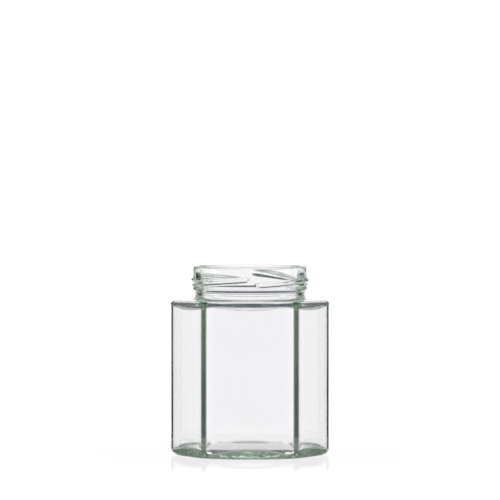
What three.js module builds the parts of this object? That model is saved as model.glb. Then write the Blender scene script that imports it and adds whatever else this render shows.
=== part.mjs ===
// Hexagonal glass jar with a four-lug twist-off neck, open and empty.
// Millimetres, +Z up. The jar stands on z = 0, its axis is Z, two of its upright edges lie on +X and -X,
// and the middle of its front side faces -Y.
import * as THREE from 'three';

// Body
const jarHeight = 98.1;
const acrossFlats = 75.6;
const outerCornerRadius = 16;
const innerCornerRadius = 7.8;
const wallThickness = 3.5;

// Base: the heel is rounder at the upright edges than at the middle of a side
const sideHeelRadius = 2;
const edgeHeelRadius = 4;
const innerHeelRadius = 1.5;
const bearingWidth = 2.2;
const bearingStep = 0.35;
const bearingStepWidth = 0.6;
const pushUpHeight = 2.4;
const baseThickness = 2;
const insidePushUp = 0.5;
const floorSlope = 6;
const domeFullness = 1.3;

// Shoulder
const shoulderTop = 80.6;
const shoulderFall = 0.3;
const shoulderSlope = 4;
const outerShoulderRadius = 1.8;
const innerShoulderRadius = 3.5;
const shoulderThickness = 1.3;
const neckFilletRadius = 2.2;

// Shoulder and base are thinner at an upright edge than at the middle of a side, by these shares
const shoulderThinning = 0.35;
const baseThinning = 0.42;
const thinningReach = 9;

// Neck and rim: the bore narrows from the rim down to the throat
const boreRadius = 26.6;
const throatRadius = 25.2;
const throatRounding = 3;
const neckRadius = 28.6;
const finishRadius = 29.5;
const rimOuterRounding = 1.2;
const rimInnerRounding = 1.5;

// Bead under the thread, measured down from the rim
const beadDepth = 12;
const beadHeight = 0.3;
const beadHalfWidth = 1.7;
const beadUnderside = 0.9;

// Thread: each lug climbs anticlockwise, seen from above. It slopes gently on top and is steep underneath
const lugCount = 4;
const lugGap = THREE.MathUtils.degToRad(4);
const lugRunOut = THREE.MathUtils.degToRad(9);
const lugTurn = THREE.MathUtils.degToRad(3);
const lugLowDepth = 10.3;
const lugHighDepth = 7.2;
const lugHeight = 1.5;
const lugWidthAbove = 2.2;
const lugWidthBelow = 0.9;

// Facets: the columns crowd towards the upright edges, where the surface turns
const columnCount = 78;
const columnCrowding = 0.65;
const domeRows = 5;
const heelRows = 6;
const roundingRows = 4;
const rimRows = 3;
const flatRows = 2;
const threadRowStep = 0.38;

const sideCount = 6;
const sector = 2 * Math.PI / sideCount;
const quarterTurn = Math.PI / 2;
const outerApothem = acrossFlats / 2;
const innerApothem = outerApothem - wallThickness;

// One level: a rounded hexagon with this apothem and corner radius, on a plain, threaded or inner face
function level(apothem, z, cornerRadius, face = 'plain') {
  return { apothem, z, cornerRadius, face };
}

// The corners open out from those of the wall to a full circle as the outline shrinks to the round end
function blendedCorner(apothem, wallApothem, wallCorner, roundEnd) {
  const toRound = THREE.MathUtils.smoothstep(wallApothem - apothem, 0, wallApothem - roundEnd);
  return Math.min(apothem, THREE.MathUtils.lerp(wallCorner, apothem, toRound));
}

// Points of an arc in the plane of apothem and height, angles in degrees from the outward direction
function arc(centreApothem, centreZ, radius, fromAngle, toAngle, steps) {
  const curve = new THREE.EllipseCurve(
    centreApothem, centreZ, radius, radius,
    THREE.MathUtils.degToRad(fromAngle), THREE.MathUtils.degToRad(toAngle), toAngle < fromAngle,
  );
  return curve.getPoints(steps);
}

// Height of a low dome over the base, highest on the axis
function domeHeight(apothem, edgeApothem, rise) {
  return rise * Math.cos(quarterTurn * Math.min(1, apothem / edgeApothem)) ** domeFullness;
}

// Apothems from the axis out to the edge of a dome, closer together towards the edge
function domeApothems(edgeApothem, steps) {
  return Array.from({ length: steps }, (_, step) => edgeApothem * Math.sin(quarterTurn * step / steps));
}

// Underside: the push-up inside the ring that the jar stands on, all of it round
function underside() {
  const bearingInner = outerApothem - sideHeelRadius - bearingWidth;
  const pushUpEdge = bearingInner - bearingStepWidth;
  const levels = domeApothems(pushUpEdge, domeRows).map((apothem) => {
    const z = bearingStep + domeHeight(apothem, pushUpEdge, pushUpHeight - bearingStep);
    return level(apothem, z, apothem);
  });
  levels.push(level(pushUpEdge, bearingStep, pushUpEdge));
  levels.push(level(bearingInner, 0, bearingInner));
  return levels;
}

// How far a quarter circle that stands on the floor draws in from the wall at a height
function heelInset(radius, z) {
  return radius - Math.sqrt(radius ** 2 - (radius - Math.min(z, radius)) ** 2);
}

// Heel: at each height the corner radius is the one that gives the upright edge its own inset
function heel() {
  const edgeStretch = 1 / Math.cos(sector / 2);
  return Array.from({ length: heelRows + 1 }, (_, row) => {
    const z = edgeHeelRadius * (1 - Math.cos(quarterTurn * row / heelRows));
    const apothem = outerApothem - heelInset(sideHeelRadius, z);
    const edge = edgeStretch * outerApothem - (edgeStretch - 1) * outerCornerRadius
      - heelInset(edgeHeelRadius, z);
    return level(apothem, z, Math.min(apothem, (edgeStretch * apothem - edge) / (edgeStretch - 1)));
  });
}

// Rounding from the wall into the top of the shoulder
function shoulderRounding() {
  const shoulderEdge = shoulderTop - shoulderFall;
  const points = arc(outerApothem - outerShoulderRadius, shoulderEdge - outerShoulderRadius,
    outerShoulderRadius, 0, 90 - shoulderSlope, roundingRows);
  return points.map(({ x, y }) => level(x, y,
    blendedCorner(x, outerApothem, outerCornerRadius, neckRadius + neckFilletRadius)));
}

// Top of the shoulder and its fillet into the neck
function shoulderFlat() {
  const filletStart = neckRadius + neckFilletRadius;
  const flatStart = outerApothem - outerShoulderRadius;
  const levels = Array.from({ length: flatRows }, (_, row) => {
    const share = (row + 1) / (flatRows + 1);
    const apothem = THREE.MathUtils.lerp(flatStart, filletStart, share);
    const z = shoulderTop - shoulderFall * (1 - share);
    return level(apothem, z, blendedCorner(apothem, outerApothem, outerCornerRadius, filletStart));
  });
  const fillet = arc(filletStart, shoulderTop + neckFilletRadius, neckFilletRadius, 270, 180, roundingRows);
  levels.push(...fillet.map(({ x, y }) => level(x, y, x)));
  return levels;
}

// Radius of the neck without its lugs: it widens over the bead's underside and then keeps the finish's size
function plainNeckRadius(z) {
  const beadCentre = jarHeight - beadDepth;
  const underside = beadCentre - beadHalfWidth / 2;
  const widened = THREE.MathUtils.smoothstep(z, underside - beadUnderside, underside + beadUnderside);
  const fromBead = Math.min(1, Math.abs(z - beadCentre) / beadHalfWidth);
  const bead = beadHeight * Math.cos(quarterTurn * fromBead) ** 2;
  return THREE.MathUtils.lerp(neckRadius, finishRadius, widened) + bead;
}

// Outside of the finish from the bead up, and over the rim to the bore
function finishAndRim() {
  const threadBottom = jarHeight - beadDepth - beadHalfWidth;
  const threadTop = jarHeight - lugHighDepth + lugWidthAbove;
  const steps = Math.round((threadTop - threadBottom) / threadRowStep);
  const levels = [];
  for (let step = 0; step <= steps; step += 1) {
    const z = THREE.MathUtils.lerp(threadBottom, threadTop, step / steps);
    const radius = plainNeckRadius(z);
    levels.push(level(radius, z, radius, 'threaded'));
  }
  const rim = [
    ...arc(finishRadius - rimOuterRounding, jarHeight - rimOuterRounding, rimOuterRounding, 0, 90, rimRows),
    ...arc(boreRadius + rimInnerRounding, jarHeight - rimInnerRounding, rimInnerRounding, 90, 180, rimRows),
  ];
  levels.push(...rim.map(({ x, y }) => level(x, y, x)));
  return levels;
}

// Inside, from the bore down over the shoulder and the wall to the middle of the floor
function inside() {
  const ceiling = shoulderTop - shoulderThickness;
  const floor = (apothem) => pushUpHeight + baseThickness - insidePushUp
    + domeHeight(apothem, innerApothem, insidePushUp);
  const throat = arc(throatRadius + throatRounding, ceiling + throatRounding, throatRounding,
    180, 270 - shoulderSlope, roundingRows);
  const corner = arc(innerApothem - innerShoulderRadius, ceiling - shoulderFall - innerShoulderRadius,
    innerShoulderRadius, 90 - shoulderSlope, 0, roundingRows);
  const heelCentre = innerApothem - innerHeelRadius;
  const floorHeel = arc(heelCentre, floor(heelCentre) + innerHeelRadius, innerHeelRadius,
    0, floorSlope - 90, roundingRows);
  const floorApothems = domeApothems(heelCentre, domeRows).reverse();
  const inner = (apothem, z, roundEnd) => level(apothem, z,
    blendedCorner(apothem, innerApothem, innerCornerRadius, roundEnd), 'inner');
  return [
    ...throat.map(({ x, y }) => inner(x, y, throatRadius + throatRounding)),
    ...corner.map(({ x, y }) => inner(x, y, throatRadius + throatRounding)),
    ...floorHeel.map(({ x, y }) => inner(x, y, 0)),
    ...floorApothems.map((apothem) => inner(apothem, floor(apothem), 0)),
  ];
}

// Distance from the axis to a rounded hexagon, at an angle from the upright edge on +X
function outlineRadius(apothem, cornerRadius, angle) {
  const fromCorner = Math.abs(angle - sector * Math.round(angle / sector));
  const cornerCentre = (apothem - cornerRadius) / Math.cos(sector / 2);
  const arcEnd = Math.atan2(cornerRadius / 2, cornerCentre + cornerRadius * Math.cos(sector / 2));
  if (fromCorner > arcEnd) {
    return apothem / Math.cos(sector / 2 - fromCorner);
  }
  const across = cornerCentre * Math.sin(fromCorner);
  return cornerCentre * Math.cos(fromCorner) + Math.sqrt(cornerRadius ** 2 - across ** 2);
}

// How far a lug stands out from the neck: a rounded ridge that climbs along its length and runs out at its ends
function lugRelief(angle, z) {
  const pitch = 2 * Math.PI / lugCount;
  const turned = angle - lugTurn;
  const turn = turned - pitch * Math.floor(turned / pitch);
  const fromEnd = Math.min(turn, pitch - turn) - lugGap / 2;
  const along = THREE.MathUtils.clamp((turn - lugGap / 2) / (pitch - lugGap), 0, 1);
  const crest = jarHeight - THREE.MathUtils.lerp(lugLowDepth, lugHighDepth, along);
  const halfWidth = z > crest ? lugWidthAbove : lugWidthBelow;
  const fromCrest = Math.min(1, Math.abs(z - crest) / halfWidth);
  const runOut = THREE.MathUtils.smoothstep(fromEnd, 0, lugRunOut);
  return lugHeight * runOut * Math.cos(quarterTurn * fromCrest) ** 2;
}

// Height of a point inside: towards the upright edges the floor and the ceiling draw near to the outside
function thinnedHeight(angle, apothem, z) {
  const nearWall = THREE.MathUtils.smoothstep(apothem, innerApothem - thinningReach,
    innerApothem - innerShoulderRadius);
  const thinning = nearWall * ((1 + Math.cos(sideCount * angle)) / 2) ** 2;
  const top = shoulderTop - shoulderFall;
  if (z > top / 2) {
    return top - (top - z) * (1 - shoulderThinning * thinning);
  }
  return z * (1 - baseThinning * thinning);
}

// Angle of a column from +X, with the columns crowded towards the upright edges
function columnAngle(column) {
  const even = 2 * Math.PI * column / columnCount;
  return even - columnCrowding * Math.sin(sideCount * even) / sideCount;
}

// The lathe makes a round jar of the levels; each vertex then moves to the hexagon or the lug at its angle
function jarGeometry() {
  const levels = [
    ...underside(), ...heel(), ...shoulderRounding(), ...shoulderFlat(), ...finishAndRim(), ...inside(),
  ];
  const profile = levels.map(({ apothem, z }) => new THREE.Vector2(apothem, z));
  const geometry = new THREE.LatheGeometry(profile, columnCount);
  geometry.rotateX(quarterTurn);
  const position = geometry.attributes.position;
  for (let column = 0; column <= columnCount; column += 1) {
    const angle = columnAngle(column % columnCount);
    levels.forEach(({ apothem, z, cornerRadius, face }, row) => {
      const onBead = Math.max(0, apothem - finishRadius);
      const relief = face === 'threaded' ? Math.max(0, lugRelief(angle, z) - onBead) : 0;
      const radius = outlineRadius(apothem, cornerRadius, angle) + relief;
      const height = face === 'inner' && z < shoulderTop ? thinnedHeight(angle, apothem, z) : z;
      position.setXYZ(column * levels.length + row, radius * Math.cos(angle), radius * Math.sin(angle), height);
    });
  }
  geometry.computeVertexNormals();
  return geometry;
}

const glass = new THREE.MeshStandardMaterial({ color: 0xdce8e1, roughness: 0.04, metalness: 0 });

const jar = new THREE.Mesh(jarGeometry(), glass);
jar.name = 'jar';

const hexagonalJar = new THREE.Group();
hexagonalJar.add(jar);

export default hexagonalJar;
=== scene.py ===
import math

import bpy
import numpy as np
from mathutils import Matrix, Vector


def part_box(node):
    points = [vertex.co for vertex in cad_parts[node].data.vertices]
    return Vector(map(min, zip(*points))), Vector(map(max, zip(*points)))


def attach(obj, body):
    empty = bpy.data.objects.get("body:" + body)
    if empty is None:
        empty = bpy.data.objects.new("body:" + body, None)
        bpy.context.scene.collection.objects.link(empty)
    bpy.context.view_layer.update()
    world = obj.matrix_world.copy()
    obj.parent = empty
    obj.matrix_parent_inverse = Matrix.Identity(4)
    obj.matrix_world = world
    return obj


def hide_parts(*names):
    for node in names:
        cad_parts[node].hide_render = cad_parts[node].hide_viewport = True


# An empty hexagonal glass jar with a twist-off neck. Metres, +Z up, the jar stands on z = 0.
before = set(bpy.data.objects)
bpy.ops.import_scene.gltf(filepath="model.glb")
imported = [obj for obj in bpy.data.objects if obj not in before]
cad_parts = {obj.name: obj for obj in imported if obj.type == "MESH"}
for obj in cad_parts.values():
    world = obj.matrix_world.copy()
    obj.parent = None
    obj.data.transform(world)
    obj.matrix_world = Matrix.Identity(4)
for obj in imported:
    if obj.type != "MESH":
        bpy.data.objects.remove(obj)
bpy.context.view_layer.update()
jarLow, jarHigh = (np.array(corner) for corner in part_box("jar"))
print("frame loaded, jar box", jarLow, jarHigh)

mm = 0.001
degree = math.radians(1)

view = {
    "distance": 1.78,      # the picture is taken with a long lens, so upright lines stay parallel
    "height": 0.138,       # a little above the rim
    "aimHeight": 0.1063,   # where the middle of the picture meets the jar's axis
    "lens": 246.5,
    "sensor": 36.0,
    "near": 0.05,
    "far": 50,
}


def makeCamera():
    data = bpy.data.cameras.new("camera")
    data.lens = view["lens"]
    data.sensor_width = view["sensor"]
    data.clip_start = view["near"]
    data.clip_end = view["far"]
    camera = bpy.data.objects.new("camera", data)
    bpy.context.scene.collection.objects.link(camera)
    camera.location = (0, -view["distance"], view["height"])
    drop = math.atan2(view["height"] - view["aimHeight"], view["distance"])
    camera.rotation_euler = (math.pi / 2 - drop, 0, 0)
    bpy.context.scene.camera = camera


makeCamera()
print("camera made")


# Links a socket to a node's input, or sets the input's own value
def feed(tree, target, value):
    source = value.socket if isinstance(value, Socket) else value
    if isinstance(source, bpy.types.NodeSocket):
        tree.links.new(source, target)
    else:
        target.default_value = source


# Shader maths on sockets: an expression adds the Math nodes that it needs
class Socket:
    def __init__(self, tree, socket):
        self.tree = tree
        self.socket = socket

    # One Math node on these values, in their order
    def worked(self, operation, *values):
        node = self.tree.nodes.new("ShaderNodeMath")
        node.operation = operation
        for target, value in zip(node.inputs, values):
            feed(self.tree, target, value)
        return Socket(self.tree, node.outputs[0])

    def math(self, operation, *others):
        return self.worked(operation, self, *others)

    def __add__(self, other):
        return self.math("ADD", other)

    def __radd__(self, other):
        return self.math("ADD", other)

    def __sub__(self, other):
        return self.math("SUBTRACT", other)

    def __rsub__(self, other):
        return self.worked("SUBTRACT", other, self)

    def __mul__(self, other):
        return self.math("MULTIPLY", other)

    def __rmul__(self, other):
        return self.math("MULTIPLY", other)

    def __truediv__(self, other):
        return self.math("DIVIDE", other)

    def __rtruediv__(self, other):
        return self.worked("DIVIDE", other, self)


class Shader:
    def __init__(self, tree):
        self.tree = tree
        tree.nodes.clear()

    # Any node: its type, its settings first, then the values or links of its sockets.
    # A socket is named, with _ for a space, or counted, as _0 for the first
    def node(self, kind, settings=None, **sockets):
        made = self.tree.nodes.new("ShaderNode" + kind)
        for name, value in (settings or {}).items():
            setattr(made, name, value)
        for name, value in sockets.items():
            place = int(name[1:]) if name[0] == "_" else name.replace("_", " ")
            feed(self.tree, made.inputs[place], value)
        return made

    def value(self, node, output=0):
        return Socket(self.tree, node.outputs[output])

    # Smoothly from 0 at one value to 1 at the other
    def ramp(self, value, low, high):
        smooth = {"interpolation_type": "SMOOTHSTEP"}
        return self.value(self.node("MapRange", smooth, Value=value, From_Min=low, From_Max=high))

    # From colour a at a factor of 0 to colour b at 1.
    # The colours of a Mix node are its sockets 6 and 7 and its output 2
    def mixed(self, factor, a, b):
        a, b = (colour if isinstance(colour, Socket) else (*colour, 1) for colour in (a, b))
        return self.value(self.node("Mix", {"data_type": "RGBA"}, _0=factor, _6=a, _7=b), 2)


def newMaterial(name):
    material = bpy.data.materials.new(name)
    material.use_nodes = True
    return material, Shader(material.node_tree)


jar = {
    "outerCorner": 16 * mm,     # the upright edges' rounding
    "innerCorner": 7.8 * mm,
    "wall": 3.5 * mm,
    "sideHeel": 2.0 * mm,       # the heel's rounding at the middle of a side
    "edgeHeel": 4.0 * mm,       # and at an upright edge
    "innerHeel": 1.5 * mm,
    "bearingWidth": 2.2 * mm,   # the ring that the jar stands on
    "pushUp": 2.4 * mm,
    "pushUpStart": 0.35 * mm,
    "pushUpInset": 0.6 * mm,
    "baseThickness": 2.0 * mm,
    "floorDrop": 0.5 * mm,
    "floorSlope": 6,            # degrees, where the floor meets its heel
    "domeFullness": 1.3,
    "shoulderTop": 80.6 * mm,
    "shoulderFall": 0.3 * mm,
    "shoulderSlope": 4,
    "outerShoulder": 1.8 * mm,
    "innerShoulder": 3.5 * mm,
    "shoulderThickness": 1.3 * mm,
    "neckFillet": 2.2 * mm,
    "boreRadius": 26.6 * mm,
    "throatRadius": 25.2 * mm,
    "throatRounding": 3 * mm,
    "neckRadius": 28.6 * mm,
    "finishRadius": 29.5 * mm,
    "rimOuter": 1.2 * mm,
    "rimInner": 1.5 * mm,
    "beadDepth": 12 * mm,
    "beadHeight": 0.3 * mm,
    "beadHalfWidth": 1.7 * mm,
    "beadUnderside": 0.9 * mm,
    "lugs": 4,
    "lugGap": math.radians(4),
    "lugRunOut": math.radians(9),
    "lugTurn": math.radians(3),
    "lugLow": 10.3 * mm,
    "lugHigh": 7.2 * mm,
    "lugHeight": 1.5 * mm,
    "lugAbove": 2.2 * mm,       # each lug slopes gently on its upper side
    "lugBelow": 0.9 * mm,       # and is steep underneath, where a lid pulls on it
    "threadRow": 0.2 * mm,
    "ceilingThinning": 0.35,    # how much thinner the shoulder is at an upright edge
    "floorThinning": 0.42,      # and the base
    "thinningDepth": 9 * mm,    # how far in from the wall the thinning reaches
    "knurls": 84,               # small ribs across the standing ring
    "knurlDepth": 0.18 * mm,
    "knurlReach": 2.2 * mm,
    "rippleDepth": 1.0 * mm,    # chill ripples all over the underside
    "rippleSeed": 4,
    "rippleWaves": 8,
    "rippleLength": 5 * mm,
    "rippleShortest": 0.7,      # the waves' lengths, as shares of that one
    "rippleLongest": 1.4,
    "rippleFrom": 0.3 * mm,     # the ripples fade in between these heights
    "rippleTo": 1.3 * mm,
    "rippleTop": 3.4 * mm,
    "columns": 456,             # points round the jar
    "crowding": 0.5,            # how much closer they lie at the upright edges
    "underSteps": 14,           # steps along each part of the section
    "lipSteps": 4,
    "standingSteps": 8,
    "heelSteps": 15,
    "wallSteps": 12,
    "crestSteps": 12,
    "shoulderSteps": 7,
    "filletSteps": 8,
    "rimSteps": 10,
    "throatSteps": 10,
    "innerHeelSteps": 14,
    "floorSteps": 13,
}
sides = 6
sector = 2 * math.pi / sides
height = jarHigh[2] - jarLow[2]
outerApothem = (jarHigh[1] - jarLow[1]) / 2
innerApothem = outerApothem - jar["wall"]


def smoothstep(x, low, high):
    t = np.clip((x - low) / (high - low), 0, 1)
    return t * t * (3 - 2 * t)


# Points of an arc in the plane of apothem and height, angles in degrees from the outward direction
def arc(centreApothem, centreZ, radius, fromAngle, toAngle, steps):
    t = np.radians(np.linspace(fromAngle, toAngle, steps + 1))
    return np.column_stack([centreApothem + radius * np.cos(t), centreZ + radius * np.sin(t)])


# Even shares from 0 to 1, both ends included
def shares(steps):
    return np.linspace(0, 1, steps + 1)


# A low dome: the cosine of the share of the way out from the axis, to a power a little above one
def dome(apothem, edge):
    return np.cos(math.pi / 2 * np.clip(apothem / edge, 0, 1)) ** jar["domeFullness"]


# The corner radius grows from the wall's to a full circle as the outline shrinks to its round end
def blendedCorner(apothem, wallApothem, wallCorner, roundEnd):
    t = smoothstep(wallApothem - apothem, 0, wallApothem - roundEnd)
    return np.minimum(apothem, wallCorner + t * (apothem - wallCorner))


# Rows of apothem, height, corner radius and a threaded mark
def rows(points, corner, threaded=0.0):
    corner = np.broadcast_to(corner, len(points))
    return np.column_stack([points, corner, np.full(len(points), threaded)])


# Heights up a wall without its ends. The distance to the nearer end goes with the cube of an even
# one, so that the heights crowd towards the ends and the shading stays flat between them
def wallHeights(low, high):
    t = np.linspace(-1, 1, jar["wallSteps"] + 1)[1:-1]
    share = (1 + np.sign(t) * (1 - (1 - np.abs(t)) ** 3)) / 2
    return low + share * (high - low)


# How far a quarter circle of this radius, standing on the floor, draws in from the wall at a height
def heelInset(radius, z):
    return radius - np.sqrt(radius ** 2 - (radius - np.minimum(z, radius)) ** 2)


# The heel is rounder at the upright edges: each row has the corner radius that gives the edge its
# own inset
def heelRows():
    z = jar["edgeHeel"] * (1 - np.cos(np.linspace(0, math.pi / 2, jar["heelSteps"] + 1)))
    apothem = outerApothem - heelInset(jar["sideHeel"], z)
    wide = 1 / math.cos(sector / 2)
    edge = wide * outerApothem - (wide - 1) * jar["outerCorner"] - heelInset(jar["edgeHeel"], z)
    corner = np.minimum((wide * apothem - edge) / (wide - 1), apothem)
    return rows(np.column_stack([apothem, z]), corner)


# The outside from the middle of the underside to the neck: push-up, lip, standing ring, heel, wall
# and shoulder
def outerRows():
    bearingOuter = outerApothem - jar["sideHeel"]
    bearingInner = bearingOuter - jar["bearingWidth"]
    edge = bearingInner - jar["pushUpInset"]
    apothem = shares(jar["underSteps"])[:-1] * edge
    rise = jar["pushUp"] - jar["pushUpStart"]
    under = np.column_stack([apothem, jar["pushUpStart"] + rise * dome(apothem, edge)])
    inset = shares(jar["lipSteps"])
    lipHeight = jar["pushUpStart"] * np.cos(inset * math.pi / 2) ** 2
    lip = np.column_stack([edge + inset * (bearingInner - edge), lipHeight])
    low = np.vstack([under, lip])
    heel = heelRows()
    outward = shares(jar["standingSteps"])[1:-1]
    standing = np.column_stack([bearingInner + outward * jar["bearingWidth"], 0 * outward])
    standingCorner = bearingInner + outward * (heel[0, 2] - bearingInner)

    shoulderEdge = jar["shoulderTop"] - jar["shoulderFall"]
    filletStart = jar["neckRadius"] + jar["neckFillet"]
    flatStart = outerApothem - jar["outerShoulder"]
    wallTop = shoulderEdge - jar["outerShoulder"]
    wall = wallHeights(jar["edgeHeel"], wallTop)
    wall = np.column_stack([np.full_like(wall, outerApothem), wall])
    crestEnd = 90 - jar["shoulderSlope"]
    crest = arc(flatStart, wallTop, jar["outerShoulder"], 0, crestEnd, jar["crestSteps"])
    inward = shares(jar["shoulderSteps"])[1:-1]
    flat = np.column_stack([flatStart + inward * (filletStart - flatStart),
                            jar["shoulderTop"] - jar["shoulderFall"] * (1 - inward)])
    high = np.vstack([crest, flat])
    filletCentre = jar["shoulderTop"] + jar["neckFillet"]
    fillet = arc(filletStart, filletCentre, jar["neckFillet"], 270, 180, jar["filletSteps"])
    return np.vstack([
        rows(low, low[:, 0]),
        rows(standing, standingCorner),
        heel,
        rows(wall, jar["outerCorner"]),
        rows(high, blendedCorner(high[:, 0], outerApothem, jar["outerCorner"], filletStart)),
        rows(fillet, fillet[:, 0]),
    ])


# The neck's finish from its bead over the lugs' zone to the bore, and the rim's two quarter circles
def finishRows():
    centre = height - jar["beadDepth"]
    low = centre - jar["beadHalfWidth"]
    high = height - jar["lugHigh"] + jar["lugAbove"]
    z = np.linspace(low, high, int((high - low) / jar["threadRow"]))
    underside = centre - jar["beadHalfWidth"] / 2
    widened = smoothstep(z, underside - jar["beadUnderside"], underside + jar["beadUnderside"])
    fromBead = np.clip(np.abs(z - centre) / jar["beadHalfWidth"], 0, 1)
    radius = jar["neckRadius"] + widened * (jar["finishRadius"] - jar["neckRadius"])
    radius = radius + jar["beadHeight"] * np.cos(math.pi / 2 * fromBead) ** 2
    outer, inner, steps = jar["rimOuter"], jar["rimInner"], jar["rimSteps"]
    rim = np.vstack([
        arc(jar["finishRadius"] - outer, height - outer, outer, 0, 90, steps),
        arc(jar["boreRadius"] + inner, height - inner, inner, 90, 180, steps),
    ])
    return np.vstack([rows(np.column_stack([radius, z]), radius, 1.0), rows(rim, rim[:, 0])])


# The inside from the throat down to the middle of the floor
def innerRows():
    ceiling = jar["shoulderTop"] - jar["shoulderThickness"]
    flare, throat, slope = jar["innerShoulder"], jar["throatRounding"], jar["shoulderSlope"]
    throatCentre = jar["throatRadius"] + throat
    wallTop = ceiling - jar["shoulderFall"] - flare
    heelCentre = innerApothem - jar["innerHeel"]
    floorTop = jar["pushUp"] + jar["baseThickness"]

    def floorHeight(apothem):
        return floorTop - jar["floorDrop"] * (1 - dome(apothem, innerApothem))

    high = np.vstack([
        arc(throatCentre, ceiling + throat, throat, 180, 270 - slope, jar["throatSteps"]),
        arc(innerApothem - flare, wallTop, flare, 90 - slope, 0, jar["crestSteps"]),
    ])
    heelTop = floorHeight(heelCentre) + jar["innerHeel"]
    wall = wallHeights(heelTop, wallTop)[::-1]
    wall = np.column_stack([np.full_like(wall, innerApothem), wall])
    heelEnd = jar["floorSlope"] - 90
    heel = arc(heelCentre, heelTop, jar["innerHeel"], 0, heelEnd, jar["innerHeelSteps"])
    across = np.linspace(1, 0, jar["floorSteps"] + 1)[1:] * heelCentre
    low = np.vstack([heel, np.column_stack([across, floorHeight(across)])])
    return np.vstack([
        rows(high, blendedCorner(high[:, 0], innerApothem, jar["innerCorner"], throatCentre)),
        rows(wall, jar["innerCorner"]),
        rows(low, blendedCorner(low[:, 0], innerApothem, jar["innerCorner"], 0)),
    ])


# Distance from the axis to a rounded hexagon: within arcEnd of an upright edge it is the corner's
# arc, and past it the flat side, which is apothem over the cosine of the angle from its middle
def outline(apothem, corner, angle):
    fromCorner = np.abs(angle - sector * np.round(angle / sector))
    centre = (apothem - corner) / math.cos(sector / 2)
    arcEnd = np.arctan2(corner / 2, centre + corner * math.cos(sector / 2))
    across = centre * np.sin(fromCorner)
    onArc = centre * np.cos(fromCorner) + np.sqrt(np.maximum(corner ** 2 - across ** 2, 0))
    onSide = apothem / np.cos(sector / 2 - fromCorner)
    return np.where(fromCorner > arcEnd, onSide, onArc)


# A lug's relief: a squared cosine across its width, on a crest that climbs along its length
# and runs out at its ends
def lugRelief(angle, z):
    pitch = 2 * math.pi / jar["lugs"]
    turn = np.mod(angle - jar["lugTurn"], pitch)
    fromEnd = np.minimum(turn, pitch - turn) - jar["lugGap"] / 2
    along = np.clip((turn - jar["lugGap"] / 2) / (pitch - jar["lugGap"]), 0, 1)
    crest = height - (jar["lugLow"] + along * (jar["lugHigh"] - jar["lugLow"]))
    reach = np.where(z > crest, jar["lugAbove"], jar["lugBelow"])
    fromCrest = np.clip(np.abs(z - crest) / reach, 0, 1)
    runOut = smoothstep(fromEnd, 0, jar["lugRunOut"])
    return jar["lugHeight"] * runOut * np.cos(math.pi / 2 * fromCrest) ** 2


# Ribs across the standing ring: a cosine round the axis, strongest at the ring's middle and gone
# past its edges. Only the hollows between them are raised, so that the jar still stands on z = 0
def knurlRelief(apothem, angle):
    middle = outerApothem - jar["sideHeel"] - jar["bearingWidth"] / 2
    across = np.clip(np.abs(apothem - middle) / jar["knurlReach"], 0, 1)
    wave = (1 - np.cos(jar["knurls"] * angle)) / 2
    return jar["knurlDepth"] * np.cos(math.pi / 2 * across) ** 2 * wave


# Ripples: the mean of plane sine waves with directions, starts and lengths of their own
def ripples(x, y):
    chance = np.random.default_rng(jar["rippleSeed"])
    heading, start = chance.uniform(0, 2 * math.pi, (2, jar["rippleWaves"]))
    lengths = np.linspace(jar["rippleShortest"], jar["rippleLongest"], jar["rippleWaves"])
    pace = 2 * math.pi / (jar["rippleLength"] * lengths)
    across = np.cos(heading) * x[..., None] + np.sin(heading) * y[..., None]
    return np.sin(across * pace + start).mean(-1)


# From 0 in the middle of a side to 1 at an upright edge: a cosine for each side, squared to stay
# low for longer
def towardsEdge(angle):
    return ((1 + np.cos(sides * angle)) / 2) ** 2


# The glass is thinnest where it was blown furthest, near the wall and most at the upright edges:
# there the floor's heights shrink towards z = 0 and the ceiling's draw nearer to the shoulder's top
def thinned(z, apothem, angle):
    start = innerApothem - jar["thinningDepth"]
    near = smoothstep(apothem, start, innerApothem - jar["innerShoulder"])
    blown = near * towardsEdge(angle)
    top = jar["shoulderTop"] - jar["shoulderFall"]
    lifted = top - (top - z) * (1 - jar["ceilingThinning"] * blown)
    lowered = z * (1 - jar["floorThinning"] * blown)
    return np.where(z > top / 2, lifted, lowered)


# A closed surface from a grid of points whose first and last rows are single points on the axis
def closedMesh(name, points):
    rowCount, columnCount = points.shape[:2]
    body = points[1:-1].reshape(-1, 3)
    vertices = np.vstack([points[0, :1], body, points[-1, :1]])
    column = np.arange(columnCount)
    after = (column + 1) % columnCount
    start = 1 + np.arange(rowCount - 3)[:, None] * columnCount
    above = start + columnCount
    quads = np.stack([start + column, start + after, above + after, above + column], -1)
    lastRow = 1 + (rowCount - 3) * columnCount
    lowFan = np.column_stack([np.zeros_like(column), 1 + after, 1 + column])
    last = np.full_like(column, len(vertices) - 1)
    highFan = np.column_stack([last, lastRow + column, lastRow + after])
    faces = quads.reshape(-1, 4).tolist() + lowFan.tolist() + highFan.tolist()
    mesh = bpy.data.meshes.new(name)
    mesh.from_pydata(vertices.tolist(), [], faces)
    mesh.update()
    mesh.polygons.foreach_set("use_smooth", np.ones(len(mesh.polygons), bool))
    made = bpy.data.objects.new(name, mesh)
    bpy.context.scene.collection.objects.link(made)
    return made


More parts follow.
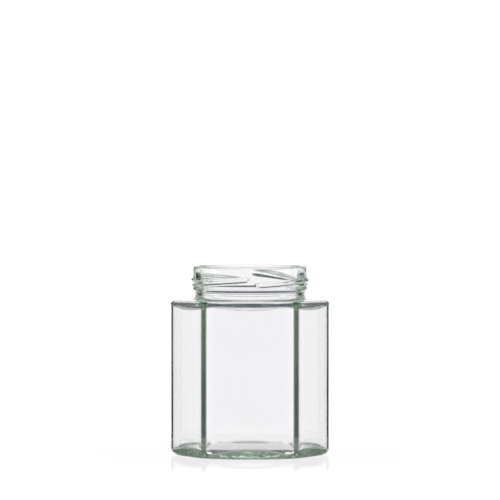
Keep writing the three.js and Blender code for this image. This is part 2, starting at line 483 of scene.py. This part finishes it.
# The surface is a grid: rows from the middle of the underside over the rim to the middle of the
# floor, and columns round the axis. Where a lug crosses the bead, the higher of the two is kept
def makeJar():
    outer, finish, inner = outerRows(), finishRows(), innerRows()
    level = np.vstack([outer, finish, inner])
    even = 2 * math.pi * np.arange(jar["columns"]) / jar["columns"]
    angle = even - jar["crowding"] * np.sin(sides * even) / sides
    apothem, z, corner, threaded = (column[:, None] for column in level.T)
    onBead = np.maximum(apothem - jar["finishRadius"], 0)
    relief = threaded * np.maximum(lugRelief(angle[None], z) - onBead, 0)
    radius = outline(apothem, corner, angle[None]) + relief
    x, y = radius * np.cos(angle), radius * np.sin(angle)
    row = np.arange(len(level))[:, None]
    under = (row < len(outer)) & (z < jar["rippleTop"])
    raised = smoothstep(z, jar["rippleFrom"], jar["rippleTo"])
    rippled = jar["rippleDepth"] * raised * ripples(x, y)
    inside = (row >= len(outer) + len(finish)) & (z < jar["shoulderTop"])
    z = z + under * (knurlRelief(apothem, angle) + rippled)
    z = np.where(inside, thinned(z, apothem, angle), z)
    points = np.stack([x, y, z], -1)
    made = closedMesh("glass_jar", points)
    print("jar rows", len(level), "faces", len(made.data.polygons))
    return made


glassFinish = {
    "ior": 1.52,
    "roughness": 0.0,
    "passed": (0.912, 0.960, 0.910),   # the colour that the glass takes on with depth
    "density": 80.0,                   # and how fast, for each metre
    "shade": 0.93,                     # the jar's own shadow stays light
    "stippleScale": 500.0,             # fine stipple on the underside, where the mould was rough
    "stippleDetail": 1.0,
    "stippleDepth": 0.12 * mm,
    "stippleTop": 3 * mm,
    "stippleFade": 1 * mm,
}


def glassMaterial():
    material, shader = newMaterial("jar_glass")
    place = shader.node("TexCoord").outputs["Object"]
    grain = shader.node("TexNoise", Vector=place, Scale=glassFinish["stippleScale"],
                        Detail=glassFinish["stippleDetail"])
    z = shader.value(shader.node("SeparateXYZ", _0=place), 2)
    top = glassFinish["stippleTop"]
    stipple = shader.value(grain) * (1 - shader.ramp(z, top - glassFinish["stippleFade"], top))
    bump = shader.node("Bump", Height=stipple, Distance=glassFinish["stippleDepth"])
    glass = shader.node("BsdfPrincipled", Base_Color=(1, 1, 1, 1), IOR=glassFinish["ior"],
                        Roughness=glassFinish["roughness"], Transmission_Weight=1.0,
                        Normal=bump.outputs[0])
    clear = shader.node("BsdfTransparent", Color=(glassFinish["shade"],) * 3 + (1,))
    shadow = shader.node("LightPath").outputs["Is Shadow Ray"]
    surface = shader.node("MixShader", _0=shadow, _1=glass.outputs[0], _2=clear.outputs[0])
    depth = shader.node("VolumeAbsorption", Color=(*glassFinish["passed"], 1),
                        Density=glassFinish["density"])
    shader.node("OutputMaterial", Surface=surface.outputs[0], Volume=depth.outputs[0])
    return material


glassJar = makeJar()
glassJar.data.materials.append(glassMaterial())
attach(glassJar, "root")
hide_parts("jar")
print("jar made")


# The table and the light. Headings, rises from the horizon and soft edges are in degrees
stage = {
    "seen": (1.1, 1.1, 1.1),           # the white that the camera sees round the jar
    "floorRadius": 0.15,
    "floorSides": 96,
    "fadeFrom": 0.08,                  # from here to its edge the table fades into that white
    "floorLit": (0.80, 0.79, 0.80),    # the table to the camera: it shines by itself
    "floorGloss": 0.2,                 # and mirrors the jar faintly
    "floorRoughness": 0.05,
    "tableLit": (1.0, 0.98, 1.01),     # the table to the glass is brighter
    "floorIor": 1.5,                   # with a polish that mirrors whatever stands low around it
    "paintedShade": (0.36, 0.37, 0.36),    # and a painted shadow makes it dim under the jar
    "paintedShadowFrom": 36 * mm,
    "paintedShadowTo": 47 * mm,
    "paintedShadeByCardsFrom": 30.0,             # and painted shade dims it in front of the cards, between these headings
    "paintedShadeByCardsTo": 75.0,
    "paintedShadeByCardsNear": 55 * mm,
    "paintedShadeByCardsFar": 75 * mm,
    "panel": (1.06, 1.02, 1.07),       # a white panel ahead
    "side": (0.94, 0.91, 0.97),        # and softer ones at both sides
    "card": (0.052, 0.078, 0.045),     # dark cards between them, close to the horizon
    "cardFrom": 20.0,
    "cardFromSoft": 5.0,
    "cardTo": 59.0,
    "cardSoft": 1.5,
    "cardTop": 13.0,
    "cardLow": (0.002, 0.019, 0.009),  # darker still away from the horizon itself
    "cardLowFrom": 2.7,
    "cardLowTo": 3.25,
    "room": (0.16, 0.165, 0.175),      # the dim room round the camera
    "roomFrom": 108.0,
    "overhead": (0.10, 0.11, 0.13),
    "overheadFrom": 12.0,
    "overheadSoft": 8.0,
}


# The heading in degrees, from 0 straight ahead to 180 behind the camera, alike left and right
def headingOf(x, y):
    return x.math("ABSOLUTE").math("ARCTAN2", y) / degree


# 1 between two headings, with a soft start and end
def headingBand(shader, heading, low, high):
    lowSoft, highSoft = stage["cardFromSoft"], stage["cardSoft"]
    started = shader.ramp(heading, low - lowSoft, low + lowSoft)
    return started * (1 - shader.ramp(heading, high - highSoft, high + highSoft))


# A round table that shines by itself. The camera sees it even, with a faint mirror image.
# To the glass it has painted shade under the jar and in front of the cards, and a polish that
# mirrors more the flatter a ray meets it
def makeFloor():
    count = stage["floorSides"]
    angle = np.linspace(0, 2 * math.pi, count + 1)[:-1]
    ring = np.column_stack([np.cos(angle), np.sin(angle), np.zeros(count)]) * stage["floorRadius"]
    mesh = bpy.data.meshes.new("floor")
    mesh.from_pydata(ring.tolist(), [], [list(range(count))])
    floor = bpy.data.objects.new("floor", mesh)
    bpy.context.scene.collection.objects.link(floor)
    material, shader = newMaterial("floor_white")
    place = shader.node("SeparateXYZ", _0=shader.node("TexCoord").outputs["Object"])
    x, y = shader.value(place, 0), shader.value(place, 1)
    fromAxis = (x * x + y * y).math("SQRT")
    # Painted shade on the table in front of the dark cards, between these headings and radii
    paintedCardShade = headingBand(shader, headingOf(x, y), stage["paintedShadeByCardsFrom"], stage["paintedShadeByCardsTo"])
    paintedCardShade = paintedCardShade * shader.ramp(fromAxis, stage["paintedShadeByCardsNear"], stage["paintedShadeByCardsFar"])
    # Painted shade: the table's glow drops to a dim colour under the jar and in front of the cards
    unshaded = shader.ramp(fromAxis, stage["paintedShadowFrom"], stage["paintedShadowTo"]) * (1 - paintedCardShade)
    shine = shader.mixed(unshaded, stage["paintedShade"], stage["tableLit"])
    table = shader.node("Emission", Color=shine)
    mirror = shader.node("BsdfGlossy", Color=(1, 1, 1, 1), Roughness=stage["floorRoughness"])
    polish = shader.node("Fresnel", IOR=stage["floorIor"])
    around = shader.node("MixShader", _0=polish.outputs[0], _1=table.outputs[0],
                         _2=mirror.outputs[0])
    faded = shader.ramp(fromAxis, stage["fadeFrom"], stage["floorRadius"])
    lit = shader.node("Emission", Color=shader.mixed(faded, stage["floorLit"], stage["seen"]))
    gloss = shader.node("BsdfGlossy", Color=(stage["floorGloss"],) * 3 + (1,),
                        Roughness=stage["floorRoughness"])
    seen = shader.node("AddShader", _0=lit.outputs[0], _1=gloss.outputs[0])
    camera = shader.node("LightPath").outputs["Is Camera Ray"]
    surface = shader.node("MixShader", _0=camera, _1=around.outputs[0], _2=seen.outputs[0])
    shader.node("OutputMaterial", Surface=surface.outputs[0])
    mesh.materials.append(material)


# White to the camera. To the glass, from straight ahead round to the camera: a white panel, a low
# dark card, a softer panel and the dim room, with dim light overhead. Left and right are alike
def makeWorld():
    world = bpy.data.worlds.new("studio")
    bpy.context.scene.world = world
    world.use_nodes = True
    shader = Shader(world.node_tree)
    direction = shader.node("SeparateXYZ", _0=shader.node("TexCoord").outputs["Generated"])
    x, y, z = (shader.value(direction, place) for place in range(3))
    heading = headingOf(x, y)
    rise = z.math("ARCSINE") / degree
    fromHorizon = rise.math("ABSOLUTE")
    soft = stage["cardSoft"]
    low = 1 - shader.ramp(fromHorizon, stage["cardTop"] - soft, stage["cardTop"] + soft)
    behind = shader.ramp(heading, stage["roomFrom"] - soft, stage["roomFrom"] + soft)
    aside = shader.ramp(heading, stage["cardTo"] - soft, stage["cardTo"] + soft)
    above = shader.ramp(rise, stage["overheadFrom"], stage["overheadFrom"] + stage["overheadSoft"])
    panels = shader.mixed(aside * low, stage["panel"], stage["side"])
    between = headingBand(shader, heading, stage["cardFrom"], stage["cardTo"])
    darker = shader.ramp(fromHorizon, stage["cardLowFrom"], stage["cardLowTo"])
    card = shader.mixed(darker, stage["card"], stage["cardLow"])
    carded = shader.mixed(between * low, panels, card)
    room = shader.mixed(above, shader.mixed(behind * low, carded, stage["room"]), stage["overhead"])
    camera = shader.value(shader.node("LightPath"), "Is Camera Ray")
    seen = shader.mixed(camera, room, stage["seen"])
    background = shader.node("Background", Color=seen, Strength=1.0)
    shader.node("OutputWorld", Surface=background.outputs[0])


makeFloor()
makeWorld()
bpy.context.scene.view_settings.view_transform = "Standard"
bpy.context.scene.view_settings.look = "None"
bounces = 40                       # light runs a long way inside the glass before it leaves
cycles = bpy.context.scene.cycles
cycles.max_bounces = bounces
cycles.glossy_bounces = bounces
cycles.transmission_bounces = bounces
cycles.transparent_max_bounces = bounces
print("stage made")
